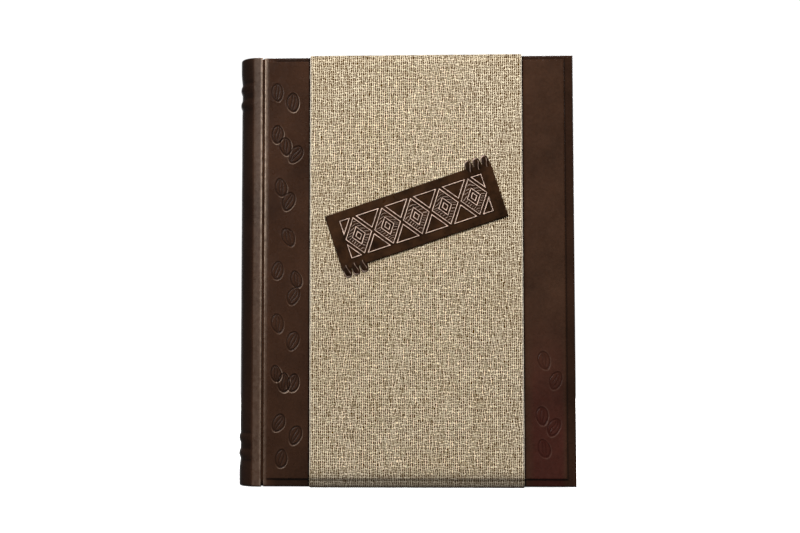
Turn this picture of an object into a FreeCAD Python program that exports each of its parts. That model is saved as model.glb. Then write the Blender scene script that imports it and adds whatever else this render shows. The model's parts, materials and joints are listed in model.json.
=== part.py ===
"""Stamp album in a full leather binding, standing on its tail edge, in millimetres.

+Z runs from tail to head, +X from the spine to the fore-edge, and the front cover faces -Y.
The origin is under the middle of the whole album, on the surface that it stands on.
"""

import FreeCAD, Part

import os
import re

import Sketcher

doc = FreeCAD.newDocument("StampAlbum")
sheet = doc.addObject("Spreadsheet::Sheet", "Sizes")

# Driving sizes in millimetres, apart from the counts and the tilt in degrees
SIZES = {
    # covers
    "cover_height": 290.0,
    "cover_width": 209.0,
    "leather_thickness": 1.0,
    "board_thickness": 3.0,
    "turn_in_thickness": 0.5,
    "turn_in_width": 14.0,
    "pastedown_thickness": 0.4,
    "paper_clearance": 0.2,
    "panel_rise": 0.9,
    "panel_head_margin": 2.0,
    "panel_tail_margin": 4.5,
    "panel_fore_margin": 5.4,
    "panel_hinge_margin": 1.4,
    "panel_bevel": 1.4,
    # spine and joints
    "spine_depth": 16.8,
    "shoulder_drop": 0.5,
    "groove_half_width": 1.4,
    "groove_depth": 2.2,
    "joint_thickness": 0.7,
    "joint_wall": 0.3,
    "hinge_clearance": 0.3,
    "inlay_thickness": 1.2,
    "hollow_gap": 0.9,
    "band_rise": 0.8,
    "band_core_width": 3.6,
    "band_spacing": 10.5,
    "head_band_distance": 19.7,
    "tail_band_distance": 21.5,
    "band_setback": 3.0,
    "cap_bevel": 1.5,
    "lining_thickness": 0.4,
    "lining_inset": 8.0,
    "lining_setback": 4.0,
    "tape_thickness": 0.4,
    "tape_width": 14.0,
    "tape_count": 4,
    "headband_radius": 1.3,
    "headband_setback": 0.2,
    # leaves
    "leaf_count": 12,
    "leaf_thickness": 0.9,
    "leaf_gap": 0.8,
    "leaf_inset": 1.5,
    "overhang_width": 4.0,
    "flyleaf_thickness": 0.3,
    "flyleaf_gap": 0.4,
    "fold_depth": 0.7,
    "cover_gap": 1.0,
    "guard_thickness": 0.25,
    "guard_lap": 8.0,
    "guard_inset": 1.0,
    "guard_clearance": 0.1,
    # clear strips that hold the stamps
    "film_thickness": 0.25,
    "film_height": 20.0,
    "film_margin": 6.0,
    "row_count": 8,
    "row_margin": 12.0,
    # linen band and its leather plaque
    "linen_thickness": 0.7,
    "linen_offset": 31.1,
    "linen_width": 143.3,
    "linen_tab_length": 12.0,
    "linen_ease": 0.3,
    "plaque_thickness": 1.6,
    "plaque_width": 117.5,
    "plaque_height": 39.0,
    "plaque_tilt": 18.3,
    "plaque_across": 103.0,
    "plaque_up": 180.9,
    "lobe_count": 3,
    "lobe_radius": 2.7,
    "lobe_reach": 5.4,
    "lobe_pitch": 5.8,
    "lobe_corner": 3.2,
}

# Sizes and places that follow from the driving ones. A name that ends in _out or _in is a
# distance from the plane midway between the two covers.
DERIVED = {
    # heights
    "tail": "linen_thickness",
    "head": "tail + cover_height",
    "leaf_tail": "tail + overhang_width",
    "leaf_head": "head - overhang_width",
    # places along X
    "hinge_x": "(spine_depth + band_rise - groove_half_width - cover_width) / 2",
    "hinge_edge": "hinge_x + groove_half_width",
    "fore_edge": "hinge_edge + cover_width",
    "leaf_left": "hinge_x + leaf_inset",
    "leaf_right": "fore_edge - overhang_width",
    "linen_left": "hinge_edge + linen_offset",
    "linen_right": "linen_left + linen_width",
    # layers from the middle of the block outwards
    "mid_y": "(linen_thickness + plaque_thickness) / 2",
    "leaf_pitch": "leaf_thickness + 2 * film_thickness + leaf_gap",
    "stack_out": "(leaf_count * leaf_pitch - leaf_gap) / 2",
    "flyleaf_in": "stack_out + flyleaf_gap",
    "flyleaf_out": "flyleaf_in + flyleaf_thickness",
    "cover_in": "flyleaf_out + cover_gap",
    "board_in": "cover_in + turn_in_thickness",
    "board_out": "board_in + board_thickness",
    "border_out": "board_out + leather_thickness",
    "panel_out": "border_out + panel_rise",
    "linen_out": "panel_out + linen_thickness",
    "plaque_out": "linen_out + plaque_thickness",
    # rounded spine
    "crest_out": "panel_out - shoulder_drop",
    "spine_sag": "spine_depth - groove_half_width",
    "spine_radius": "(crest_out ^ 2 + spine_sag ^ 2) / (2 * spine_sag)",
    "spine_x": "hinge_x - spine_depth + spine_radius",
    "inlay_radius": "spine_radius - leather_thickness",
    "hollow_radius": "inlay_radius - inlay_thickness",
    "lining_radius": "hollow_radius - hollow_gap",
    "tape_radius": "lining_radius - lining_thickness",
    "back_radius": "tape_radius - tape_thickness",
    "groove_floor_out": "crest_out - groove_depth",
    "groove_radius": "groove_half_width - joint_wall",
    "groove_centre_out": "groove_floor_out + groove_radius",
}

SIDES = ("front", "back")
ENDS = ("head", "tail")


def fill_sheet():
    for row, (name, value) in enumerate(SIZES.items(), start=1):
        sheet.set(f"A{row}", name)
        sheet.set(f"B{row}", str(value))
        sheet.setAlias(f"B{row}", name)
    doc.recompute()


def formula(text):
    """The text with each named size as its cell in the sheet, and each derived one written out."""

    def reference(match):
        name = match[0]
        if name in DERIVED:
            return f"({formula(DERIVED[name])})"
        return f"Sizes.{name}" if name in SIZES else name

    return re.sub(r"[a-z_]+", reference, text)


def bind(item, **texts):
    """Ties properties of an object to formulas."""
    for name, text in texts.items():
        item.setExpression(name, formula(text))
    return item


def place(item, x="0", y="0", z="0"):
    for axis, text in zip("xyz", (x, y, z)):
        item.setExpression(f"Placement.Base.{axis}", formula(text))
    return item


def block(label, x, y, z):
    """A box between three pairs of formulas, the low and the high side along each axis."""
    item = doc.addObject("Part::Box", label)
    extents = [f"({high}) - ({low})" for low, high in (x, y, z)]
    bind(item, **dict(zip(("Length", "Width", "Height"), extents)))
    return place(item, x[0], y[0], z[0])


def rod(label, x, y, z, radius):
    """An upright cylinder from the low to the high formula of z."""
    item = doc.addObject("Part::Cylinder", label)
    bind(item, Radius=radius, Height=f"({z[1]}) - ({z[0]})")
    return place(item, x, y, z[0])


def wedge(label, near, far):
    """A block that tapers along Y: near and far each hold the y, x pair and z pair of one end."""
    item = doc.addObject("Part::Wedge", label)
    for suffix, (y, x, z) in zip(("", "2"), (near, far)):
        low, high = f"X{suffix}min", f"X{suffix}max"
        bind(item, **{low: x[0], high: x[1]})
        low, high = f"Z{suffix}min", f"Z{suffix}max"
        bind(item, **{low: z[0], high: z[1]})
    return bind(item, Ymin=near[0], Ymax=far[0])


def join(label, *items):
    item = doc.addObject("Part::MultiFuse", label)
    item.Shapes = list(items)
    return item


def group(label, items):
    """Separate solids that share one node."""
    item = doc.addObject("Part::Compound", label)
    item.Links = list(items)
    return item


def cut(label, base, *tools):
    item = doc.addObject("Part::Cut", label)
    item.Base = base
    item.Tool = tools[0] if len(tools) == 1 else join(f"{label}_voids", *tools)
    return item


def common(label, base, tool):
    item = doc.addObject("Part::Common", label)
    item.Base = base
    item.Tool = tool
    return item


def layer(side, inner, outer):
    """The y pair of a layer between two distances from the middle, on the front or back side."""
    if side == "front":
        return f"mid_y - ({outer})", f"mid_y - ({inner})"
    return f"mid_y + ({inner})", f"mid_y + ({outer})"


def raised(label, side, inner, outer, foot, top):
    """A bevelled block on a cover: foot and top hold the x pair and z pair of its two ends."""
    low, high = layer(side, inner, outer)
    if side == "front":
        return wedge(label, (low, *top), (high, *foot))
    return wedge(label, (low, *foot), (high, *top))


def panel_pairs(inset):
    """The x and z pairs of the raised panel, drawn in by inset from the foot of its bevel."""
    x = f"hinge_edge + panel_hinge_margin + {inset}", f"fore_edge - panel_fore_margin - {inset}"
    z = f"tail + panel_tail_margin + {inset}", f"head - panel_head_margin - {inset}"
    return x, z


def shrunk(pair, inset):
    return f"{pair[0]} + {inset}", f"{pair[1]} - {inset}"


COVER_X = "hinge_edge", "fore_edge"
COVER_Z = "tail", "head"
LEAF_X = "leaf_left", "leaf_right"
LEAF_Z = "leaf_tail", "leaf_head"
LINEN_X = "linen_left", "linen_right"
CLEAR_Y = "mid_y - 2 * panel_out", "mid_y + 2 * panel_out"


def cover(side):
    """Board, raised panel card, leather skin with its turn-ins, and pastedown of one cover.

    Returns the four nodes and the leather's full outer block, which the linen band wraps."""
    foot, top = panel_pairs("0"), panel_pairs("panel_bevel")
    board_x, board_z = (shrunk(pair, "leather_thickness") for pair in (COVER_X, COVER_Z))
    board = block(f"{side}_board", board_x, layer(side, "board_in", "board_out"), board_z)
    card = raised(f"{side}_panel_card", side, "board_out", "board_out + panel_rise", foot, top)
    slab = block(f"{side}_slab", COVER_X, layer(side, "cover_in", "border_out"), COVER_Z)
    rise = raised(f"{side}_rise", side, "border_out", "panel_out", foot, top)
    outer = join(f"{side}_outer", slab, rise)
    window_x = "hinge_edge - leather_thickness", "fore_edge - turn_in_width"
    window_y = layer(side, "cover_in - leather_thickness", "board_in")
    window_z = shrunk(COVER_Z, "turn_in_width")
    window = block(f"{side}_window", window_x, window_y, window_z)
    leather = cut(f"{side}_leather", outer, board, card, window)
    paper_x = "hinge_edge", "fore_edge - turn_in_width - paper_clearance"
    paper_y = layer(side, "board_in - pastedown_thickness", "board_in")
    pastedown = block(f"{side}_pastedown", paper_x, paper_y, shrunk(window_z, "paper_clearance"))
    return [board, card, leather, pastedown], outer


def joint(side):
    """The strip of leather in the groove between the spine and a cover."""
    strip_x = "hinge_x - groove_half_width", "hinge_x + groove_half_width"
    strip_y = layer(side, "groove_floor_out - joint_thickness", "border_out")
    strip = block(f"{side}_joint_blank", strip_x, strip_y, COVER_Z)
    groove_y = layer(side, "0", "groove_centre_out")[0 if side == "front" else 1]
    groove = rod(f"{side}_groove", "hinge_x", groove_y, COVER_Z, "groove_radius")
    mouth_x = "hinge_x - groove_radius", "hinge_x + groove_radius"
    mouth = block(f"{side}_mouth", mouth_x, layer(side, "groove_centre_out", "2 * panel_out"), COVER_Z)
    return cut(f"{side}_joint", strip, groove, mouth)


def endpaper(side):
    """The loose flyleaf of one endpaper, and the fold that joins it to the pastedown."""
    flyleaf_y = layer(side, "flyleaf_in", "flyleaf_out")
    flyleaf = block(f"{side}_flyleaf", LEAF_X, flyleaf_y, LEAF_Z)
    back, bend = "hinge_x - fold_depth", "hinge_x - fold_depth + flyleaf_thickness"
    spacer_y = layer(side, "flyleaf_out", "board_in - pastedown_thickness")
    spacer = block(f"{side}_fold_spacer", (bend, "leaf_right"), spacer_y, LEAF_Z)
    edge_y = layer(side, "flyleaf_out", "board_in")
    edge = block(f"{side}_fold_edge", ("hinge_edge", "leaf_right"), edge_y, LEAF_Z)
    blank_y = layer(side, "flyleaf_in", "board_in")
    blank = block(f"{side}_fold_blank", (back, "leaf_left"), blank_y, LEAF_Z)
    return [flyleaf, cut(f"{side}_endpaper_fold", blank, spacer, edge)]


def linen_band(outer):
    """A strip of linen round the front cover, over its head and tail edges and onto its inside."""
    slab_y = layer("front", "cover_in - linen_thickness", "border_out + linen_thickness")
    slab = block("linen_slab", LINEN_X, slab_y, shrunk(COVER_Z, "(-linen_thickness)"))
    foot = LINEN_X, shrunk(panel_pairs("0")[1], "(-linen_ease)")
    top = LINEN_X, shrunk(panel_pairs("panel_bevel")[1], "(-linen_ease)")
    ridge = raised("linen_ridge", "front", "border_out + linen_thickness", "linen_out", foot, top)
    inside_y = layer("front", "cover_in - 2 * linen_thickness", "cover_in")
    inside_x = shrunk(LINEN_X, "(-linen_thickness)")
    inside = block("linen_inside", inside_x, inside_y, shrunk(COVER_Z, "linen_tab_length"))
    return cut("linen_band", join("linen_wrap", slab, ridge), outer, inside)


def title_plaque():
    """A tilted leather plate with a row of round lobes at two opposite corners, around its centre."""
    depth = "0", "plaque_thickness"
    half_width, half_height = "plaque_width / 2", "plaque_height / 2"
    plate = block("plaque_plate", (f"-{half_width}", half_width), depth, (f"-{half_height}", half_height))
    pieces = [plate]
    for corner, sign in (("upper", 1), ("lower", -1)):
        for lobe in range(int(SIZES["lobe_count"])):
            along = f"{sign} * ({half_width} - lobe_corner - {lobe} * lobe_pitch)"
            root, centre = f"{half_height} - lobe_radius", f"{half_height} + lobe_reach - lobe_radius"
            neck_z = (root, centre) if sign > 0 else (f"-({centre})", f"-({root})")
            neck_x = f"{along} - lobe_radius", f"{along} + lobe_radius"
            pieces.append(block(f"{corner}_neck_{lobe}", neck_x, depth, neck_z))
            end = doc.addObject("Part::Cylinder", f"{corner}_lobe_{lobe}")
            end.Placement.Rotation = FreeCAD.Rotation(FreeCAD.Vector(1, 0, 0), -90)
            bind(end, Radius="lobe_radius", Height="plaque_thickness")
            pieces.append(place(end, along, "0", f"{sign} * ({centre})"))
    plaque = join("title_plaque", *pieces)
    plaque.Placement.Rotation = FreeCAD.Rotation(FreeCAD.Vector(0, -1, 0), SIZES["plaque_tilt"])
    plaque.setExpression("Placement.Rotation.Angle", formula("plaque_tilt"))
    return place(plaque, "hinge_edge + plaque_across", "mid_y - plaque_out", "tail + plaque_up")


def shell(label, outer_radius, inner_radius, z, right):
    """Part of a tube round the spine's centre line, kept where x is lower than right."""
    keep = block(f"{label}_keep", ("hinge_x - 2 * spine_depth", right), CLEAR_Y, z)
    tube = rod(f"{label}_tube", "spine_x", "mid_y", z, outer_radius)
    bore = rod(f"{label}_bore", "spine_x", "mid_y", z, inner_radius)
    return cut(label, common(f"{label}_arc", tube, keep), bore)


def band_heights(rim):
    """The z pair of each raised band, with rim of leather over both its edges."""
    half = f"(band_core_width / 2 + {rim})"
    centres = []
    for first in ("tail + (tail_band_distance", "head - (head_band_distance"):
        centres += [f"{first} + {number} * band_spacing)" for number in range(2)]
    return [(f"{centre} - {half}", f"{centre} + {half}") for centre in centres]


def capped_tube():
    """The outside of the spine, with its head and tail edges bevelled."""
    middle = rod("spine_tube", "spine_x", "mid_y", shrunk(COVER_Z, "cap_bevel"), "spine_radius")
    caps = []
    for end in ENDS:
        cap = doc.addObject("Part::Cone", f"{end}_cap")
        wide, narrow = ("Radius1", "Radius2") if end == "head" else ("Radius2", "Radius1")
        bind(cap, Height="cap_bevel", **{wide: "spine_radius", narrow: "spine_radius - cap_bevel"})
        caps.append(place(cap, "spine_x", "mid_y", "head - cap_bevel" if end == "head" else "tail"))
    return [middle, *caps]


def spine():
    """Leather back with its raised bands, the stiff inlay under it, and the lined back of the block."""
    edge = "hinge_x - groove_half_width"
    covered = "spine_x - band_rise"
    swells = [rod(f"band_swell_{number}", covered, "mid_y", z, "spine_radius")
              for number, z in enumerate(band_heights("leather_thickness"))]
    keep = block("spine_keep", ("hinge_x - 2 * spine_depth", edge), CLEAR_Y, COVER_Z)
    skin = common("spine_skin", join("spine_outer", *capped_tube(), *swells), keep)
    inlay_z = shrunk(COVER_Z, "leather_thickness")
    bore = rod("spine_bore", "spine_x", "mid_y", inlay_z, "inlay_radius")
    mouth = rod("spine_mouth", "spine_x", "mid_y", COVER_Z, "hollow_radius")
    cores = [rod(f"band_core_{number}", covered, "mid_y", z, "inlay_radius")
             for number, z in enumerate(band_heights("0"))]
    leather = cut("spine_leather", skin, bore, mouth, *cores)
    band_right = f"{edge} - band_setback"
    band_keep = block("band_keep", ("hinge_x - 2 * spine_depth", band_right), CLEAR_Y, COVER_Z)
    bands = cut("raised_bands", common("band_arcs", group("band_cores", cores), band_keep), bore)
    inlay = shell("spine_inlay", "inlay_radius", "hollow_radius", inlay_z, f"{edge} - leather_thickness")
    lining_z = shrunk(LEAF_Z, "lining_inset")
    lining_right = "hinge_x - lining_setback"
    lining = shell("spine_lining", "lining_radius", "tape_radius", lining_z, lining_right)
    return [leather, bands, inlay, lining, sewing_tapes(lining_right)]


def sewing_tapes(right):
    """Flat tapes across the back of the sewn guards, evenly spaced along it."""
    tapes = []
    for number in range(int(SIZES["tape_count"])):
        centre = f"leaf_tail + (leaf_head - leaf_tail) * {number + 0.5} / tape_count"
        z = f"{centre} - tape_width / 2", f"{centre} + tape_width / 2"
        tapes.append(shell(f"tape_{number}", "tape_radius", "back_radius", z, right))
    return group("sewing_tapes", tapes)


def headband(end):
    """A round worked band on the end of the block, against the spine."""
    ring = doc.addObject("Part::Torus", f"{end}_ring")
    bind(ring, Radius1="back_radius - headband_radius - headband_setback", Radius2="headband_radius")
    height = "leaf_head + headband_radius" if end == "head" else "leaf_tail - headband_radius"
    place(ring, "spine_x", "mid_y", height)
    keep_x = "hinge_x - 2 * spine_depth", "hinge_x - lining_setback"
    keep = block(f"{end}_ring_keep", keep_x, CLEAR_Y, ("tail - overhang_width", "head + overhang_width"))
    return common(f"headband_{end}", ring, keep)


def sewn_guards():
    """The folded guards of all the leaves and of both endpapers, sewn into a rounded back."""
    folds = []
    last = int(SIZES["leaf_count"]) + 1
    for number in range(last + 1):
        centre = f"mid_y + ({number} - (leaf_count + 1) / 2) * leaf_pitch"
        half = "(leaf_pitch - guard_clearance) / 2"
        fold_x = "spine_x - back_radius", "hinge_x - guard_inset"
        fold_y = f"{centre} - {half}", f"{centre} + {half}"
        folds.append(block(f"fold_{number}", fold_x, fold_y, LEAF_Z))
    back = rod("sewn_back", "spine_x", "mid_y", LEAF_Z, "back_radius")
    return common("sewn_guards", group("folds", folds), back)


def strips(label, centre_y):
    """Rows of clear strips on both faces of a leaf."""
    body = doc.addObject("PartDesign::Body", label)
    planes = {item.Role: item for item in body.Origin.OriginFeatures}
    sketch = body.newObject("Sketcher::SketchObject", f"{label}_row")
    sketch.AttachmentSupport = (planes["XZ_Plane"], [""])
    sketch.MapMode = "FlatFace"
    sketch.setExpression("AttachmentOffset.Base.z", formula("leaf_thickness / 2"))
    corners = [FreeCAD.Vector(x, y, 0) for x, y in ((0, 0), (1, 0), (1, 1), (0, 1))]
    for start, end in zip(corners, corners[1:] + corners[:1]):
        sketch.addGeometry(Part.LineSegment(start, end))
    for side in range(4):
        sketch.addConstraint(Sketcher.Constraint("Coincident", side, 2, (side + 1) % 4, 1))
        direction = "Vertical" if side % 2 else "Horizontal"
        sketch.addConstraint(Sketcher.Constraint(direction, side))
    sketch.addConstraint(Sketcher.Constraint("Coincident", 0, 1, -1, 1))
    width = sketch.addConstraint(Sketcher.Constraint("DistanceX", 0, 1, 0, 2, 1))
    height = sketch.addConstraint(Sketcher.Constraint("DistanceY", 1, 1, 1, 2, 1))
    film_left = "leaf_left + guard_lap + film_margin"
    sketch.setExpression(f"Constraints[{width}]", formula(f"leaf_right - film_margin - ({film_left})"))
    sketch.setExpression(f"Constraints[{height}]", formula("film_height"))
    film = body.newObject("PartDesign::Pad", f"{label}_film")
    film.Profile = sketch
    bind(film, Length="film_thickness")
    rows = body.newObject("PartDesign::LinearPattern", f"{label}_rows")
    rows.Originals = [film]
    rows.Direction = (sketch, ["V_Axis"])
    row_pitch = "(leaf_head - leaf_tail - 2 * row_margin) / row_count"
    bind(rows, Length=f"{row_pitch} * (row_count - 1)", Occurrences="row_count")
    body.Tip = rows
    doc.recompute()
    both = body.newObject("PartDesign::Mirrored", f"{label}_both")
    both.MirrorPlane = (planes["XZ_Plane"], [""])
    both.TransformMode = "Whole shape"
    body.Tip = both
    return place(body, film_left, centre_y, "leaf_tail + row_margin")


def leaf(number):
    """One stock leaf: its card, its strips and the paper guard that hinges it to the back."""
    label = f"leaf_{number + 1:02d}"
    centre = f"(mid_y + ({number} - (leaf_count - 1) / 2) * leaf_pitch)"
    card_y = f"{centre} - leaf_thickness / 2", f"{centre} + leaf_thickness / 2"
    card = block(label, LEAF_X, card_y, LEAF_Z)
    guard_x = "hinge_x - guard_inset", "leaf_left + guard_lap"
    in_front_half = number < SIZES["leaf_count"] / 2
    guard_y = f"{centre} + leaf_thickness / 2", f"{centre} + leaf_thickness / 2 + guard_thickness"
    if not in_front_half:
        guard_y = f"{centre} - leaf_thickness / 2 - guard_thickness", f"{centre} - leaf_thickness / 2"
    guard = block(f"{label}_guard", guard_x, guard_y, LEAF_Z)
    return [card, strips(f"{label}_strips", centre), guard]


def build():
    """Makes every piece and returns those that are written out."""
    fill_sheet()
    front, front_outer = cover("front")
    back, _ = cover("back")
    pieces = front + back + [joint(side) for side in SIDES]
    pieces += [linen_band(front_outer), title_plaque()]
    pieces += spine() + [headband(end) for end in ENDS] + [sewn_guards()]
    for side in SIDES:
        pieces += endpaper(side)
    for number in range(int(SIZES["leaf_count"])):
        pieces += leaf(number)
    doc.recompute()
    return pieces


def write(pieces):
    for item in doc.Objects:
        if {"Invalid", "Error"} & set(item.State):
            raise RuntimeError(f"{item.Label} failed: {item.State}")
    for item in pieces:
        if item.Shape.isNull() or not item.Shape.isValid() or not item.Shape.Solids:
            raise RuntimeError(f"{item.Label} has no valid solid")
    os.makedirs("parts", exist_ok=True)
    for item in pieces:
        item.Shape.exportStep(f"parts/{item.Label}.step")


write(build())
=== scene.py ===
"""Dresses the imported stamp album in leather, linen, paper and board, and sets the studio and the camera.

Lengths are in metres, in the part's own frame: +Z runs from tail to head, +X from the spine to the
fore-edge, and the front cover faces -Y. A distance out is measured from the plane midway between
the two covers.
"""

import json
import math

import bmesh
import bpy
import numpy as np
from mathutils import Matrix, Vector

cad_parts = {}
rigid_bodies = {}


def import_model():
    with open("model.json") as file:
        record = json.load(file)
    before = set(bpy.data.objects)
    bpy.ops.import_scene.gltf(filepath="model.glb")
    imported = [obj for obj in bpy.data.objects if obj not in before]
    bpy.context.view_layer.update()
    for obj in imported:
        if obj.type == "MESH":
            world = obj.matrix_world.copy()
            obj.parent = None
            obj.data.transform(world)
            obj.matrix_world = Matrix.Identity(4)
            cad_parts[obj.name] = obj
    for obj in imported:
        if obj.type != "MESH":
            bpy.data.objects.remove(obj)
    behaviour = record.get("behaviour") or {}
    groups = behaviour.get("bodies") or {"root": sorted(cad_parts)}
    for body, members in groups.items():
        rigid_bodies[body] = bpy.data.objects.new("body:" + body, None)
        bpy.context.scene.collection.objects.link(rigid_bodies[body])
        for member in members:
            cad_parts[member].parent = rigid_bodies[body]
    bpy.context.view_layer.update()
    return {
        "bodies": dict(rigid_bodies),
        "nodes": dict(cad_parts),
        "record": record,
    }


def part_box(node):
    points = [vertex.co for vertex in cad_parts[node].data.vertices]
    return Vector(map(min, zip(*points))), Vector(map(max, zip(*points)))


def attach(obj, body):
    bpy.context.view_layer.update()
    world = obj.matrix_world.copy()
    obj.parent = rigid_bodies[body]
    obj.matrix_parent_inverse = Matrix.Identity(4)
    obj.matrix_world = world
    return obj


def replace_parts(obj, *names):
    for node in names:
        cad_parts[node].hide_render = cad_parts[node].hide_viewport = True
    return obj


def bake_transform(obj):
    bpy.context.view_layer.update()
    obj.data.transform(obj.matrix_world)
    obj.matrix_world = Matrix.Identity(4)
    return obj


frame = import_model()
nodes = frame["nodes"]

MM = 0.001
FACING = {"front": -1, "back": 1}

# Places that the frame gives
MID_Y = (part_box("front_board")[0].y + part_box("back_board")[1].y) / 2
HINGE_X = (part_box("front_joint")[0].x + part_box("front_joint")[1].x) / 2
SPINE_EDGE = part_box("front_joint")[0].x
HINGE_EDGE, FORE_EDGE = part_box("front_leather")[0].x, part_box("front_leather")[1].x
TAIL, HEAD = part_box("front_leather")[0].z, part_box("front_leather")[1].z
LEAF_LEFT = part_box("leaf_01")[0].x
LEAF_TAIL, LEAF_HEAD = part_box("leaf_01")[0].z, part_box("leaf_01")[1].z
LINEN_LEFT, LINEN_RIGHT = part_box("linen_band")[0].x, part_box("linen_band")[1].x
BOARD_OUT = MID_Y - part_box("front_board")[0].y
BOARD_IN = MID_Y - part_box("front_board")[1].y
COVER_IN = MID_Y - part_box("front_leather")[1].y
PANEL_OUT = MID_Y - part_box("front_leather")[0].y
CARD_OUT = MID_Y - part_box("front_panel_card")[0].y
LINEN_OUT = MID_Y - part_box("linen_band")[0].y
PLAQUE_OUT = MID_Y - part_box("title_plaque")[0].y
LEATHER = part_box("front_board")[0].x - HINGE_EDGE
LINEN = LINEN_OUT - PANEL_OUT
BORDER_OUT = BOARD_OUT + LEATHER


# Mesh helpers

def smooth(share):
    """Rises from 0 to 1 with level ends."""
    share = np.clip(share, 0, 1)
    return share * share * (3 - 2 * share)


def rounded(distance, radius):
    """How far a surface drops near an edge that is rounded by radius."""
    short = np.clip(radius - distance, 0, radius)
    return radius - np.sqrt(radius * radius - short * short)


def peak(distance, width):
    """1 at no distance, and soon nothing beyond the width."""
    return np.exp(-(distance / width) ** 2)


def ripple(x, z, size, seed):
    """A gentle unevenness from -1 to 1 whose waves are about size long."""
    dice = np.random.default_rng(seed)
    waves = 7
    total = np.zeros(np.broadcast(x, z).shape)
    for _ in range(waves):
        turn, phase = dice.uniform(0, 2 * math.pi, 2)
        length = size * dice.uniform(0.6, 1.6)
        total += np.sin((x * math.cos(turn) + z * math.sin(turn)) * 2 * math.pi / length + phase)
    return total / waves


def steps(*stops):
    """Places from the first stop to the last. Each stop is a place and the longest step after it."""
    places = []
    for (start, step), (end, _) in zip(stops, stops[1:]):
        count = max(1, math.ceil((end - start) / step - 1e-6))
        places += [start + (end - start) * i / count for i in range(count)]
    return places + [stops[-1][0]]


def edged(low, high, radius, step, *stops, count=5):
    """Places from low to high: close on the rounding of both ends, and by step and stops between them."""
    arc = [radius * (1 - math.cos(math.pi / 2 * i / count)) for i in range(count)]
    run = steps((low + radius, step), *stops, (high - radius, 0))
    return np.array([low + d for d in arc] + run + [high - d for d in reversed(arc)])


def put(name, data):
    """Adds an object to the scene."""
    made = bpy.data.objects.new(name, data)
    bpy.context.scene.collection.objects.link(made)
    return made


def piece(name, points, faces, slot, *replaced):
    """A smooth closed mesh with its normals outwards, which stands for the replaced nodes."""
    mesh = bpy.data.meshes.new(name)
    mesh.from_pydata([tuple(p) for p in points], [], faces)
    work = bmesh.new()
    work.from_mesh(mesh)
    bmesh.ops.recalc_face_normals(work, faces=work.faces)
    work.to_mesh(mesh)
    work.free()
    mesh.shade_smooth()
    mesh.materials.append(FINISHES[slot])
    made = put(name, mesh)
    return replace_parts(made, *replaced)


def note(made, name, values):
    """Keeps a number at every point of a mesh, for its material."""
    layer = made.data.attributes.new(name, "FLOAT", "POINT")
    layer.data.foreach_set("value", np.asarray(values, np.float32))


def set_uv(made, name, places):
    """Keeps a place on a UV map at every point of a mesh, for its material."""
    corners = np.zeros(len(made.data.loops), np.int32)
    made.data.loops.foreach_get("vertex_index", corners)
    layer = made.data.uv_layers.new(name=name)
    layer.data.foreach_set("uv", np.asarray(places, np.float32)[corners].ravel())


def wall(first, second):
    """Faces between two closed rings of equally many points."""
    return list(zip(first, first[1:] + first[:1], second[1:] + second[:1], second))


def grid_faces(rows, columns):
    """Faces of a sheet whose points are numbered row by row."""
    starts = [row * columns + i for row in range(rows - 1) for i in range(columns - 1)]
    return [(a, a + 1, a + 1 + columns, a + columns) for a in starts]


def loft(sections):
    """Points and faces of a skin through closed sections of equal count, with both ends filled in."""
    count = len(sections[0])
    points = [p for section in sections for p in section]
    rings = [list(range(start, start + count)) for start in range(0, len(points), count)]
    faces = [face for pair in zip(rings, rings[1:]) for face in wall(*pair)]
    return points, [*faces, rings[0][::-1], rings[-1]]


def normals(line):
    """Unit normals of a line of points, to the left of its run."""
    along = np.gradient(line, axis=0)
    return np.stack([-along[:, 1], along[:, 0]], 1) / np.hypot(along[:, 0], along[:, 1])[:, None]


def at(side, x, out, z):
    """A point at a distance out on one side of the album."""
    return x, MID_Y + FACING[side] * out, z


# Material helpers

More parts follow.
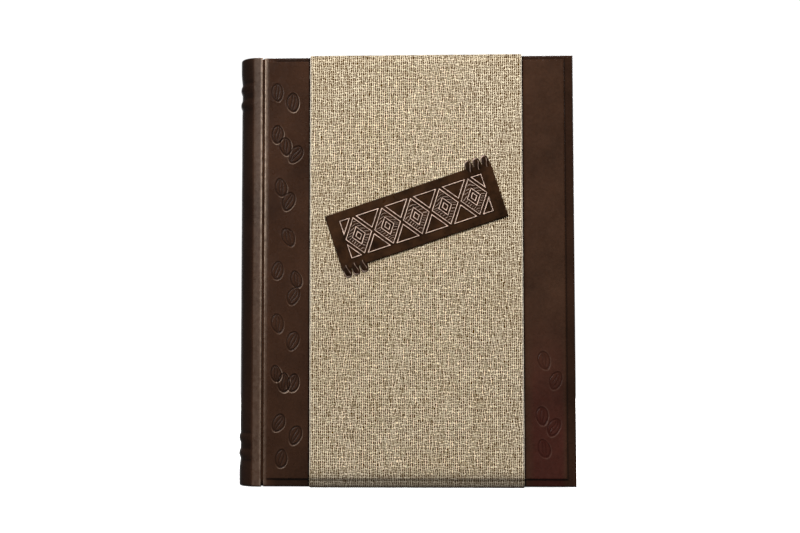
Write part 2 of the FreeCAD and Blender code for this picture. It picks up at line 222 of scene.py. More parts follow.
class Paint:
    """A node material, or the room's light, with short calls to add its nodes."""

    def __init__(self, name, family="materials", shader="Principled BSDF", **constants):
        self.made = getattr(bpy.data, family).new(name)
        self.made.use_nodes = True
        self.tree = self.made.node_tree
        self.shader = self.tree.nodes[shader]
        for key, value in constants.items():
            self.shader.inputs[key.replace("_", " ")].default_value = value

    def add(self, kind, inputs, out=0, **settings):
        made = self.tree.nodes.new("ShaderNode" + kind)
        for key, value in settings.items():
            setattr(made, key, value)
        for key, value in inputs.items():
            self.feed(value, made.inputs[key])
        return made.outputs[out]

    def feed(self, value, socket):
        if isinstance(value, bpy.types.NodeSocket):
            self.tree.links.new(value, socket)
        else:
            socket.default_value = value

    def place(self, stretch=(1, 1, 1)):
        """The point's own place on the piece, in metres."""
        spot = self.add("TexCoord", {}, "Object")
        return self.add("Mapping", {"Vector": spot, "Scale": stretch})

    def noise(self, size, detail=3.0, rough=0.5, where=None):
        where = self.place() if where is None else where
        inputs = {"Vector": where, "Scale": 1 / size, "Detail": detail, "Roughness": rough}
        return self.add("TexNoise", inputs, "Fac")

    def cells(self, size):
        """Soft pebbles of about that size."""
        inputs = {"Vector": self.place(), "Scale": 1 / size}
        return self.add("TexVoronoi", inputs, "Distance", feature="SMOOTH_F1")

    def waves(self, scale, distortion, axis):
        inputs = {"Vector": self.place(), "Scale": scale, "Distortion": distortion}
        return self.add("TexWave", inputs, "Fac", bands_direction=axis)

    def chance(self, first, second):
        """A value from 0 to 1, drawn anew for each pair of whole numbers."""
        spot = self.add("CombineXYZ", {0: first, 1: second})
        return self.add("TexWhiteNoise", {"Vector": spot}, "Value", noise_dimensions="2D")

    def math(self, operation, *values):
        return self.add("Math", dict(enumerate(values)), operation=operation)

    def total(self, first, weight, second, other_weight):
        """Two values added up, each times its weight."""
        return self.math("MULTIPLY_ADD", first, weight, self.math("MULTIPLY", second, other_weight))

    def band(self, value, low, high, to_low=0.0, to_high=1.0):
        """A value from low to high as a value from to_low to to_high, held at both ends."""
        inputs = {"Value": value, "From Min": low, "From Max": high, "To Min": to_low, "To Max": to_high}
        return self.add("MapRange", inputs)

    def cloud(self, size, detail=3.0, rough=0.5, reach=(0.3, 0.7), to=(0.0, 1.0)):
        """Noise whose usual reach is spread over a range."""
        return self.band(self.noise(size, detail, rough), *reach, *to)

    def rub_and_highlight(self, wear_and_painted_light, size):
        """Paleness where the value is over 0, for rubbing and for painted highlights, uneven in patches of
        about that size.
        """
        patch = self.cloud(size, 4, reach=(0.3, 0.62), to=(0.4, 1.0))
        return self.math("MULTIPLY", self.band(wear_and_painted_light, 0, 1), patch)

    def mix(self, share, first, second, how="MIX"):
        inputs = {0: share, 6: first, 7: second}
        return self.add("Mix", inputs, 2, data_type="RGBA", blend_type=how)

    def pick(self, share, first, second):
        """The first value where share is 0, and the second where it is 1."""
        return self.add("Mix", {0: share, 2: first, 3: second}, data_type="FLOAT")

    def mark(self, name):
        return self.add("Attribute", {}, "Fac", attribute_name=name)

    def finish(self, tint, roughness, height=None, depth=0.1 * MM, strength=1.0):
        self.feed(tint, self.shader.inputs["Base Color"])
        self.feed(roughness, self.shader.inputs["Roughness"])
        if height is not None:
            bump = self.add("Bump", {"Height": height, "Distance": depth, "Strength": strength})
            self.feed(bump, self.shader.inputs["Normal"])
        return self.made


def color(red, green, blue):
    return red, green, blue, 1.0


WHITE = color(1.0, 1.0, 1.0)
# What the leather's dye is multiplied by where it is warmest
WARM_DYE = color(1.12, 0.64, 0.80)


def leather(name, dark, light, worn_and_painted_light, darkened_and_shaded, shine):
    """Smooth goatskin with fine grain and cloudy dye. Its marked value makes it paler over 0, from rubbing
    and painted highlights, and darker under 0, with painted shade and some plain darkening. The warm
    attribute makes it redder."""
    paint = Paint(name, Specular_IOR_Level=shine)
    cloud = paint.cloud(45 * MM, 5, 0.6, (0.35, 0.68))
    speck = paint.cloud(1.6 * MM, 4, 0.65, (0.3, 0.75))
    wear_and_painted_light = paint.mark("wear_and_painted_light")
    dye_and_painted_light = paint.mix(paint.total(cloud, 0.65, speck, 0.35), dark, light)
    dye_and_painted_light = paint.mix(paint.mark("warm"), dye_and_painted_light, WARM_DYE, "MULTIPLY")
    # painted shade and some plain darkening where the marked value is under 0, and paleness from rubbing and
    # painted highlights where it is over 0
    dye_and_painted_light = paint.mix(paint.band(wear_and_painted_light, 0, -1), dye_and_painted_light, darkened_and_shaded)
    dye_and_painted_light = paint.mix(paint.rub_and_highlight(wear_and_painted_light, 3 * MM), dye_and_painted_light, worn_and_painted_light)
    height = paint.total(paint.cells(0.75 * MM), 0.8, paint.noise(0.28 * MM, 2), 0.35)
    gloss = paint.cloud(7 * MM, 4, to=(0.22, 0.34))
    return paint.finish(dye_and_painted_light, gloss, height, 0.04 * MM, 0.5)


def paper(name, pale, dark, line, thread):
    """Uncoated paper or card: soft clouds, fibres, and laid lines where line is over 0."""
    paint = Paint(name, Specular_IOR_Level=0.25)
    cloud = paint.cloud(14 * MM, 5, 0.6)
    fibre = paint.band(paint.noise(thread, 4, 0.7, paint.place((1, 1, 0.25))), 0.35, 0.7)
    laid = paint.waves(220.0, 0.6, "Z")
    share = paint.math("MULTIPLY_ADD", laid, line, paint.total(fibre, 0.45, cloud, 0.4))
    height = paint.math("MULTIPLY_ADD", laid, line, fibre)
    gloss = paint.band(cloud, 0, 1, 0.72, 0.88)
    return paint.finish(paint.mix(share, pale, dark), gloss, height, 0.04 * MM, 0.5)


def cloth(name, pale, dark, pitch):
    """Plain open cloth in square threads, for the pieces inside the spine."""
    paint = Paint(name, Specular_IOR_Level=0.2, Sheen_Weight=0.2)
    height = paint.math("MULTIPLY", *(paint.waves(0.314 / pitch, 1.2, axis) for axis in "YZ"))
    # the cloth is darker where its threads lie low: painted shade between the threads
    tone = paint.math("MULTIPLY", height, paint.cloud(4 * MM, to=(0.7, 1.1)))
    return paint.finish(paint.mix(tone, dark, pale), paint.band(tone, 0, 1, 0.95, 0.8), height, 0.15 * MM)


# A slub is a run of this many threads' widths, begun further on in each pair of threads
SLUB_THREADS = 4
SLUB_SHIFT = 0.37
# The weft's numbers start here, so that no warp thread has the same one
WEFT_FROM = 900
# Millimetres after which the two colours of the headbands come again
SILK_REPEAT = 3.6


def linen():
    """Coarse plain-weave linen, with bright threads and dark gaps of painted shade. The UV map counts its
    threads, across and along the strip. Its marked value darkens it with painted shade over 0 and lightens it
    with a painted highlight under 0."""
    paint = Paint("natural_linen", Specular_IOR_Level=0.0)
    uv = paint.add("UVMap", {}, uv_map="threads")
    axes = paint.add("SeparateXYZ", {0: uv}).node

    def thread(axis, reach, stretch, shift, sway):
        """Threads that wander side by side along an axis: their roundness, places and numbers."""
        spot = paint.add("VectorMath", {0: uv, 1: stretch, 2: shift}, operation="MULTIPLY_ADD")
        wander = paint.add("TexNoise", {"Vector": spot, "Scale": 1.0, "Detail": 1.0}, "Fac")
        place = paint.math("MULTIPLY_ADD", paint.math("SUBTRACT", wander, 0.5), sway, axes.outputs[axis])
        middle = paint.math("ABSOLUTE", paint.math("SUBTRACT", paint.math("FRACT", place), 0.5))
        return paint.band(middle, *reach), place, paint.math("FLOOR", place)

    warp, across, warp_number = thread("X", (0.32, 0.16), (0.5, 0.35, 0), (0, 0, 0), 1.2)
    weft, along, weft_number = thread("Y", (0.30, 0.12), (0.35, 0.5, 0), (31, 17, 0), 1.9)
    turns = paint.math("ADD", paint.math("SUBTRACT", along, 0.5), warp_number)
    over = paint.math("COSINE", paint.math("MULTIPLY", turns, math.pi))
    warp_high = paint.math("MULTIPLY", warp, paint.band(over, -1, 1, 0.35, 1.0))
    weft_high = paint.math("MULTIPLY", weft, paint.band(over, 1, -1, 0.38, 1.0))
    height = paint.math("MAXIMUM", warp_high, weft_high)
    on_top = paint.math("GREATER_THAN", warp_high, weft_high)

    # threads go in pairs, one of them as much brighter than the middle tone as the other is darker
    number = paint.pick(on_top, paint.math("ADD", weft_number, WEFT_FROM), warp_number)
    run = paint.pick(on_top, across, along)
    pair = paint.math("FLOOR", paint.math("MULTIPLY", number, 0.5))
    slub = paint.math("FLOOR", paint.total(run, 1 / SLUB_THREADS, pair, SLUB_SHIFT))
    second = paint.math("FLOORED_MODULO", number, 2)
    own = paint.math("ABSOLUTE", paint.math("SUBTRACT", paint.chance(pair, slub), second))
    own = paint.math("MULTIPLY_ADD", own, 0.62, 0.29)
    share = paint.math("MULTIPLY_ADD", paint.chance(warp_number, weft_number), 0.45, own)
    flax = paint.mix(share, color(0.11, 0.045, 0.0), color(0.97, 0.835, 0.61))
    flax = paint.mix(paint.math("MULTIPLY", paint.cloud(30 * MM), 0.15), flax, color(0.50, 0.34, 0.12))
    # painted shade in the gaps between the threads
    flax_and_painted_light = paint.mix(paint.band(height, 0.36, 0.60), color(0.07, 0.027, 0.0), flax)
    painted_shade_and_highlight = paint.mark("painted_shade_and_highlight")
    # painted shade where the marked value is over 0, and a painted highlight where it is under 0
    flax_and_painted_light = paint.mix(paint.band(painted_shade_and_highlight, 0, 1), flax_and_painted_light, color(0.05, 0.042, 0.035))
    flax_and_painted_light = paint.mix(paint.band(painted_shade_and_highlight, 0, -1), flax_and_painted_light, color(0.95, 0.86, 0.72))
    fuzz = paint.noise(0.35 * MM, 3, 0.7)
    relief = paint.total(height, 0.85, fuzz, 0.3)
    return paint.finish(flax_and_painted_light, paint.band(fuzz, 0.3, 0.7, 0.8, 0.95), relief, 0.22 * MM, 0.55)


def plaque_leather():
    """Dark embossed leather whose raised lines are rubbed to a pale copper, with painted highlights on its
    lobes, and near-black painted shade where the marked value is under 0.
    """
    paint = Paint("plaque_leather", Specular_IOR_Level=0.2)
    wear_and_painted_light = paint.mark("wear_and_painted_light")
    hide = paint.cloud(9 * MM, 5, 0.65)
    hide = paint.mix(hide, color(0.013, 0.006, 0.0025), color(0.052, 0.0225, 0.0095))
    # near-black painted shade round the raised lines, and darker lobes
    hide = paint.mix(paint.band(wear_and_painted_light, 0, -1), hide, color(0.003, 0.0015, 0.001))
    hide = paint.mix(paint.rub_and_highlight(wear_and_painted_light, 2.2 * MM), hide, color(1.0, 0.73, 0.59))
    height = paint.total(paint.cells(0.6 * MM), 0.8, paint.noise(0.25 * MM, 2), 0.4)
    return paint.finish(hide, paint.cloud(4 * MM, 4, to=(0.26, 0.4)), height, 0.06 * MM, 0.7)


def clear_film():
    """Thin clear strip with faint waves and a slight haze."""
    paint = Paint("clear_film", Specular_IOR_Level=0.5, Alpha=0.08)
    haze = paint.cloud(9 * MM)
    tint = paint.mix(haze, color(0.97, 0.97, 0.95), color(0.90, 0.91, 0.89))
    return paint.finish(tint, paint.band(haze, 0, 1, 0.08, 0.2), paint.noise(25 * MM, 2), 0.15 * MM, 0.3)


def headband_silk():
    """Silk worked over a core in two colours. The UV map runs along the band in millimetres."""
    paint = Paint("headband_silk", Specular_IOR_Level=0.45, Sheen_Weight=0.3)
    along = paint.add("SeparateXYZ", {0: paint.add("UVMap", {}, uv_map="stitches")}).node.outputs["X"]
    turn = paint.math("FRACT", paint.math("MULTIPLY", along, 1 / SILK_REPEAT))
    stripe = paint.math("GREATER_THAN", turn, 0.5)
    silk = paint.mix(stripe, color(0.62, 0.50, 0.31), color(0.20, 0.085, 0.045))
    shade = paint.cloud(0.5 * MM, to=(0.75, 1.1))
    tint = paint.mix(1.0, silk, shade, "MULTIPLY")
    return paint.finish(tint, paint.band(shade, 0.75, 1.1, 0.5, 0.35), paint.noise(0.3 * MM, 2), 0.05 * MM)


FINISHES = {
    "brown_leather": leather(
        "brown_leather",
        dark=color(0.024, 0.0100, 0.0050),
        light=color(0.066, 0.0290, 0.0155),
        # the pale colour for rubbing and painted highlights, then the dark colour for painted shade
        worn_and_painted_light=color(0.60, 0.45, 0.34),
        darkened_and_shaded=color(0.006, 0.003, 0.002),
        shine=0.33,
    ),
    "natural_linen": linen(),
    "plaque_leather": plaque_leather(),
    "endpaper": paper("endpaper", color(0.36, 0.24, 0.14), color(0.23, 0.14, 0.075), 0.25, 0.9 * MM),
    "leaf_card": paper("leaf_card", color(0.74, 0.68, 0.56), color(0.63, 0.56, 0.43), 0.0, 0.7 * MM),
    "guard_paper": paper("guard_paper", color(0.72, 0.64, 0.50), color(0.58, 0.49, 0.35), 0.0, 0.7 * MM),
    "grey_board": paper("grey_board", color(0.36, 0.335, 0.29), color(0.24, 0.22, 0.185), 0.0, 1.4 * MM),
    "clear_film": clear_film(),
    "mull_cloth": cloth("mull_cloth", color(0.74, 0.69, 0.58), color(0.36, 0.31, 0.23), 0.9 * MM),
    "headband_silk": headband_silk(),
}


def dress_nodes():
    """Gives every node its procedural finish, by the record's material slots."""
    for part in frame["record"]["subparts"]:
        mesh = nodes[part["node"]].data
        mesh.materials.clear()
        mesh.materials.append(FINISHES[part["material_slot"]])


# Leather skins of the covers

EDGE_ROUND = 1.3 * MM
HINGE_ROUND = 0.7 * MM
INNER_ROUND = 0.6 * MM
TURN_IN = 14 * MM
BEVEL = 1.4 * MM
SKIN_STEP = 1.1 * MM
SKIN_PARTS = 4
FINE_STEP = 0.3 * MM
HIDDEN_STEP = 8 * MM

BEAN_HALF_WIDTH = 4.0 * MM
BEAN_HALF_HEIGHT = 6.1 * MM
BEAN_LINE = 0.36 * MM
BEAN_DEPTH = 0.4 * MM

# Blind-tooled coffee beans: millimetres from the hinge edge and from the tail, tilt in degrees, and
# size and depth as shares of the values above
BEANS = (
    (8.6, 266.0, 4, 0.95, 0.8),
    (19.3, 259.0, 2, 1.0, 1.0),
    (8.9, 237.2, -3, 0.95, 1.0),
    (14.4, 229.0, 8, 0.95, 1.0),
    (21.4, 223.5, -32, 1.0, 0.9),
    (11.4, 200.9, 12, 0.95, 0.9),
    (16.6, 191.5, -20, 1.0, 0.9),
    (16.4, 167.2, 24, 1.0, 0.8),
    (9.2, 144.5, -8, 0.95, 0.8),
    (21.9, 138.5, 16, 0.9, 0.9),
    (20.1, 127.4, -22, 0.95, 0.8),
    (9.3, 109.0, 10, 1.0, 0.8),
    (19.7, 97.3, -16, 1.0, 0.8),
    (8.5, 75.2, 10, 0.85, 1.0),
    (13.8, 69.2, 2, 1.0, 1.0),
    (20.0, 69.0, -14, 0.95, 1.0),
    (10.4, 42.4, -24, 0.95, 0.9),
    (21.6, 34.2, -18, 1.0, 0.9),
    (12.2, 18.6, -6, 0.95, 0.9),
    (187.9, 84.0, 14, 0.95, 0.55),
    (195.6, 70.6, -20, 0.95, 0.5),
    (186.4, 47.2, 6, 0.95, 0.6),
    (194.2, 39.6, -26, 0.95, 0.55),
    (187.6, 25.4, 18, 0.95, 0.5),
)


def bean_places(x, z, bean):
    """A point's place on one bean, along its width and height as shares of the bean's half sizes."""
    across, up, tilt, size, _ = bean
    turn = math.radians(tilt)
    right, above = x - HINGE_EDGE - across * MM, z - TAIL - up * MM
    u = (right * math.cos(turn) + above * math.sin(turn)) / (BEAN_HALF_WIDTH * size)
    v = (above * math.cos(turn) - right * math.sin(turn)) / (BEAN_HALF_HEIGHT * size)
    return u, v


def bean_reach(u, v, bean):
    """1 on a bean's outline and less inside it: an oval with slightly pointed ends, drawn by hand."""
    pointed = 1.88
    wobble = 0.025 * np.sin(3 * np.arctan2(v, u) + bean[1])
    return (np.abs(u) ** pointed + np.abs(v) ** pointed) ** (1 / pointed) * (1 + wobble)


def tooled(x, z):
    """Depth of the tooling at a point, and how pale or dark the skin is painted there: a painted highlight
    beside each outline and painted shade in the tooled lines.
    """
    depth, worn_and_painted_light = np.zeros(x.shape), np.zeros(x.shape)
    for bean in BEANS:
        u, v = bean_places(x, z, bean)
        reach = bean_reach(u, v, bean)
        near = reach < 1.6
        u, v, reach = u[near], v[near], reach[near]
        size, pressed = bean[3:]
        width = BEAN_HALF_WIDTH * size
        outline = (reach - 1) * width
        bow = u - 0.16 * np.sin(v * 2.6 + 0.4 * math.sin(bean[1]))
        crease = (np.abs(bow) - 0.3 * np.clip(1 - v * v, 0, 1)) * width
        inside = smooth((0.93 - np.abs(v)) * 12) * smooth((1 - reach) * 6)
        line = peak(outline, BEAN_LINE)
        fold = peak(crease, 0.9 * BEAN_LINE) * inside
        crown = 0.3 * smooth(1.15 - reach) * inside
        rim = peak(np.abs(outline) - 2.1 * BEAN_LINE, BEAN_LINE)
        depth[near] += pressed * (np.maximum(line, fold) - crown - 0.2 * rim)
        # painted highlight outside the outline, brightest at the lower right, and painted shade in the lines
        # and creases
        facing = 0.55 + 0.45 * np.cos(np.arctan2(v, u) + 0.8)
        lit = peak(outline - 1.8 * BEAN_LINE, 0.7 * BEAN_LINE) * facing
        worn_and_painted_light[near] += 0.75 * pressed ** 3 * lit - 0.6 * pressed * np.maximum(line, 0.8 * fold)
    return depth * BEAN_DEPTH, worn_and_painted_light


def split_grid(xs, zs, split):
    """Flat points and faces over xs and zs. Split cells are divided into SKIN_PARTS both ways, and a
    plain cell beside one takes up the points on their shared side. Also returns the outline's points."""
    n, index, points, faces = SKIN_PARTS, {}, [], []

    def point(a, b):
        if (a, b) not in index:
            (i, p), (j, q) = divmod(a, n), divmod(b, n)
            x = xs[i] + (xs[i + 1] - xs[i]) * p / n if p else xs[i]
            z = zs[j] + (zs[j + 1] - zs[j]) * q / n if q else zs[j]
            index[a, b] = len(points)
            points.append((x, z))
        return index[a, b]

    def around(a, b, width, height, counts):
        """Points round a rectangle from its corner (a, b), with a count of steps for each side."""
        corners = (a, b), (a + width, b), (a + width, b + height), (a, b + height), (a, b)
        ring = []
        for (p, q), (r, s), count in zip(corners, corners[1:], counts):
            ring += [point(p + (r - p) * k // count, q + (s - q) * k // count) for k in range(count)]
        return ring

    wide, high = split.shape
    padded = np.pad(split, 1)
    for i in range(wide):
        for j in range(high):
            a, b = i * n, j * n
            if split[i, j]:
                faces += [around(c, d, 1, 1, (1, 1, 1, 1)) for c in range(a, a + n) for d in range(b, b + n)]
            else:
                beside = padded[i + 1, j], padded[i + 2, j + 1], padded[i + 1, j + 2], padded[i, j + 1]
                faces.append(around(a, b, n, n, [n if cell else 1 for cell in beside]))
    return np.array(points), faces, around(0, 0, wide * n, high * n, (wide, high, wide, high))


def skin_lines(side):
    """Grid lines of a cover's outer face: close at its edges and bevels, wide under the linen."""
    low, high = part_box(f"{side}_panel_card")
    spare = BEVEL + 1.0 * MM
    middle = []
    if side == "front":
        middle = [(LINEN_LEFT - 2 * MM, FINE_STEP), (LINEN_LEFT + MM, HIDDEN_STEP),
                  (LINEN_RIGHT - MM, FINE_STEP), (LINEN_RIGHT + 2 * MM, SKIN_STEP)]
    xs = edged(HINGE_EDGE, FORE_EDGE, EDGE_ROUND, FINE_STEP,
               (low.x + spare, SKIN_STEP), *middle, (high.x - spare, FINE_STEP))
    zs = edged(TAIL, HEAD, EDGE_ROUND, FINE_STEP, (low.z + spare, SKIN_STEP), (high.z - spare, FINE_STEP))
    return xs, zs


def near_bean(xs, zs):
    """Which cells of a grid lie on a bean or close to one."""
    x, z = np.meshgrid((xs[1:] + xs[:-1]) / 2, (zs[1:] + zs[:-1]) / 2, indexing="ij")
    found = np.zeros(x.shape, bool)
    for bean in BEANS:
        found |= bean_reach(*bean_places(x, z, bean), bean) < 1.42
    return found


def rub_and_highlight_by_height(z):
    """How pale a joint's edge is painted at a height, partly for rubbing and partly as a painted highlight:
    most towards the head.
    """
    return 0.3 + 0.6 * smooth((z - TAIL) / (HEAD - TAIL) * 1.8 - 0.4)


def skin_height(side, x, z):
    """Distance out of a cover's outer face, and how pale or dark it is painted there, from rubbing and from
    painted light and shade.
    """
    low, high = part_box(f"{side}_panel_card")
    from_hinge = x - HINGE_EDGE
    to_edge = np.minimum.reduce([FORE_EDGE - x, z - TAIL, HEAD - z])
    to_foot = np.minimum.reduce([x - low.x, high.x - x, z - low.z, high.z - z])
    bevel = smooth(to_foot / BEVEL)
    out = BORDER_OUT + (PANEL_OUT - BORDER_OUT) * bevel
    out -= np.maximum(rounded(to_edge, EDGE_ROUND), rounded(from_hinge, HINGE_ROUND))
    out += 0.05 * MM * ripple(x, z, 35 * MM, 3) * bevel
    out += 0.03 * MM * ripple(x, z, 9 * MM, 4)
    # the border is darker and the foot of its bevel has painted shade; the edge by the hinge and the bevel
    # beside it have a pale line, partly from rubbing and partly a painted highlight
    dark_border_and_bevel_shade = 1 - bevel + peak(to_foot - 0.3 * BEVEL, 0.6 * MM)
    worn_and_painted_light = -0.4 * dark_border_and_bevel_shade * smooth((from_hinge - 4 * MM) / (6 * MM))
    worn_and_painted_light += 2.0 * rub_and_highlight_by_height(z) ** 1.5 * peak(from_hinge - 0.25 * MM, 0.36 * MM)
    worn_and_painted_light += 0.25 * rub_and_highlight_by_height(z) * peak(from_hinge - 1.5 * MM, 0.8 * MM)
    if side == "front":
        depth, marks = tooled(x, z)
        out -= depth
        worn_and_painted_light += marks
        # darker on the hinge side of the linen than beyond it
        worn_and_painted_light += np.where(x < LINEN_LEFT, -0.15 * smooth((from_hinge - 2 * MM) / (3 * MM)), 0.011)
        # painted contact shadow on the leather along both edges of the linen
        beside = np.minimum(np.abs(x - LINEN_LEFT), np.abs(x - LINEN_RIGHT))
        worn_and_painted_light -= 1.3 * peak(beside, 0.9 * MM)
    return out, np.clip(worn_and_painted_light, -1, 1)


def warmth(x, z):
    """How much redder the front's panel is at a place: most beyond the linen, towards the tail."""
    panel_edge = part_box("front_panel_card")[1].x
    low = smooth((0.46 - (z - TAIL) / (HEAD - TAIL)) / 0.36)
    return low * smooth((x - LINEN_RIGHT) / (8 * MM)) * smooth((panel_edge - x) / (5 * MM))


def skin_rings(side):
    """Rings of the skin from the cover's edge round to its inside and back under the turn-ins: insets
    at the hinge, fore-edge, tail and head, then the distance out on the hinge side and elsewhere."""
    low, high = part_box(f"{side}_panel_card")
    foot = low.x - HINGE_EDGE, FORE_EDGE - high.x, low.z - TAIL, HEAD - high.z
    slight = INNER_ROUND * (1 - math.sqrt(0.5))
    rings = []
    for hinge, others, hinge_out, out in (
        (0.0, 0.0, BOARD_IN + 0.4 * MM, COVER_IN + INNER_ROUND),
        (0.1 * MM, slight, BOARD_IN + 0.15 * MM, COVER_IN + slight),
        (0.3 * MM, INNER_ROUND, BOARD_IN, COVER_IN),
        (0.5 * MM, TURN_IN, BOARD_IN, COVER_IN),
        (0.7 * MM, TURN_IN, BOARD_IN, BOARD_IN),
        (LEATHER, LEATHER, BOARD_IN, BOARD_IN),
        (LEATHER, LEATHER, BOARD_OUT, BOARD_OUT),
    ):
        rings.append((hinge, others, others, others, hinge_out, out))
    rings.append((*foot, BOARD_OUT, BOARD_OUT))
    rings.append((*(inset + BEVEL for inset in foot), CARD_OUT, CARD_OUT))
    return rings


def cover_skin(side):
    """One leather skin: tooled outer face, rounded edges, turn-ins and the hollow for the board."""
    xs, zs = skin_lines(side)
    split = near_bean(xs, zs) if side == "front" else np.zeros((len(xs) - 1, len(zs) - 1), bool)
    flat, faces, ring = split_grid(xs, zs, split)
    out, worn_and_painted_light = skin_height(side, flat[:, 0], flat[:, 1])
    points = [at(side, x, o, z) for (x, z), o in zip(flat, out)]
    worn_and_painted_light = list(worn_and_painted_light)
    edge = flat[ring]
    width, height = FORE_EDGE - HINGE_EDGE, HEAD - TAIL
    for hinge, fore, tail, head, hinge_out, others_out in skin_rings(side):
        new = list(range(len(points), len(points) + len(edge)))
        for x, z in edge:
            on_hinge = x == HINGE_EDGE and TAIL < z < HEAD
            new_x = HINGE_EDGE + hinge + (x - HINGE_EDGE) * (width - hinge - fore) / width
            new_z = TAIL + tail + (z - TAIL) * (height - tail - head) / height
            points.append(at(side, new_x, hinge_out if on_hinge else others_out, new_z))
        worn_and_painted_light += [-0.3 if hinge == 0 else 0.0] * len(edge)
        faces += wall(ring, new)
        ring = new
    faces.append(ring)
    made = piece(f"{side}_leather_skin", points, faces, "brown_leather", f"{side}_leather")
    note(made, "wear_and_painted_light", worn_and_painted_light)
    if side == "front":
        note(made, "warm", [*warmth(flat[:, 0], flat[:, 1]), *np.zeros(len(points) - len(flat))])
    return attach(made, f"{side}_cover")


# Leather of the spine and the joints

SHOULDER_DROP = 0.5 * MM
CREST_ROUND = 0.6 * MM
CAP_ROUND = 1.3 * MM
CAP_RISE = 1.4 * MM
CAP_FALL = 0.5 * MM
LIP = 1.0 * MM
CAP_FLARE = 0.6 * MM
CAP_REACH = 5 * MM
BAND_RISE = 0.8 * MM
BAND_HALF = 2.8 * MM
TAIL_BAND = 21.5 * MM
HEAD_BAND = 19.7 * MM
BAND_SPACING = 10.5 * MM
INLAY_CARD = 1.2 * MM
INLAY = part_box("spine_inlay")

SPINE_OUTER = INLAY[0].x - LEATHER
SPINE_SAG = SPINE_EDGE - SPINE_OUTER
SPINE_CREST = PANEL_OUT - SHOULDER_DROP
SPINE_RADIUS = (SPINE_CREST ** 2 + SPINE_SAG ** 2) / (2 * SPINE_SAG)
SPINE_X = SPINE_OUTER + SPINE_RADIUS
INLAY_RADIUS = SPINE_RADIUS - LEATHER
HOLLOW_RADIUS = INLAY_RADIUS - INLAY_CARD

BANDS = (
    TAIL + TAIL_BAND,
    TAIL + TAIL_BAND + BAND_SPACING,
    HEAD - HEAD_BAND - BAND_SPACING,
    HEAD - HEAD_BAND,
)


def spine_swell(z):
    """How far the spine stands proud at a height: over its bands, and a little at both ends."""
    swell = np.zeros(z.shape)
    for band in BANDS:
        away = np.abs(z - band)
        swell += np.exp(-(away / (0.8 * BAND_HALF)) ** 3)
        swell -= 0.18 * peak(away - 1.5 * BAND_HALF, 0.45 * BAND_HALF)
    beyond = np.maximum(BANDS[0] - z, z - BANDS[-1])
    flare = smooth((beyond - 1.2 * BAND_HALF) / (9 * MM))
    return BAND_RISE * np.clip(swell, -0.2, 1) * (1 - flare) + CAP_FLARE * flare


def spine_place(radius, turn, z):
    """A point at a distance from the spine's axis, turned from its middle towards the back."""
    return SPINE_X - radius * math.cos(turn), MID_Y + radius * math.sin(turn), z


def spine_skin():
    """Leather over the rounded spine, its bands and head caps, turned in over the inlay's ends."""
    close, close_step, wide_step, end_step = 4.2 * MM, 0.4 * MM, 2.2 * MM, 1.0 * MM
    stops = []
    for band in BANDS:
        stops += [(band - close, close_step), (band + close, wide_step)]
    z = edged(TAIL, HEAD, CAP_ROUND, end_step, *stops, count=6)
    swell = spine_swell(z)
    dip = smooth(-swell / (0.15 * BAND_RISE))
    drop = rounded(np.minimum(z - TAIL, HEAD - z), CAP_ROUND)
    # the caps rise over the headbands, most in the middle of the spine
    rise = CAP_RISE * smooth((z - HEAD) / CAP_REACH + 1) - CAP_FALL * smooth((TAIL - z) / CAP_REACH + 1)
    # the inside from head to tail: radius, height and rise of each point
    inner_r, inner_z, inner_rise = np.array([
        (HOLLOW_RADIUS, HEAD, CAP_RISE),
        (HOLLOW_RADIUS, HEAD - LEATHER, 0),
        (INLAY_RADIUS, HEAD - LEATHER, 0),
        (INLAY_RADIUS, TAIL + LEATHER, 0),
        (HOLLOW_RADIUS, TAIL + LEATHER, 0),
        (HOLLOW_RADIUS, TAIL, -CAP_FALL),
    ]).T
    inner_turn = np.arccos((SPINE_X - SPINE_EDGE) / inner_r)
    half_turn = math.acos((SPINE_X - SPINE_EDGE - LIP) / SPINE_RADIUS)
    half_arc = half_turn * SPINE_RADIUS
    sections, worn_and_painted_light = [], []
    for s in edged(-half_arc, half_arc, CREST_ROUND, 0.9 * MM):
        share = s / half_arc
        turn = share * half_turn
        r = SPINE_RADIUS + swell * math.cos(turn) ** 2 - drop - rounded(half_arc - abs(s), CREST_ROUND)
        r = r + 0.04 * MM * ripple(np.full(z.shape, s), z, 30 * MM, 8)
        outer = zip(r, np.full(z.shape, turn), z + rise * math.cos(turn))
        inner = zip(inner_r, share * inner_turn, inner_z + inner_rise * math.cos(turn))
        sections.append([spine_place(*spot) for spot in (*outer, *inner)])
        # a pale line along the crest, partly rubbing and partly a painted highlight, brighter towards the
        # head; a painted highlight on the parts beside the covers, and painted shade over the middle of the
        # spine, deepest in the dips between the bands
        crest = peak(half_arc - abs(s) - 0.15 * MM, 0.45 * MM)
        front = smooth((abs(share) - 0.71) / 0.08)
        rub_and_painted_light = rub_and_highlight_by_height(z) * crest + 0.09 * front - (0.6 + 0.2 * dip) * (1 - front)
        worn_and_painted_light += [*rub_and_painted_light, *np.zeros(len(inner_r))]
    made = piece("spine_leather_skin", *loft(sections), "brown_leather", "spine_leather")
    note(made, "wear_and_painted_light", worn_and_painted_light)
    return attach(made, "block")


GROOVE_HALF = HINGE_X - SPINE_EDGE
GROOVE_RADIUS = 1.1 * MM
GROOVE_DEPTH = 2.2 * MM
GROOVE_MOUTH = 1.2 * MM
JOINT_LEATHER = 0.7 * MM
JOINT_SHORT = 0.4 * MM
# How far the strip's two edges lie below the border
SPINE_LAP = 0.1 * MM
COVER_LAP = 0.5 * MM


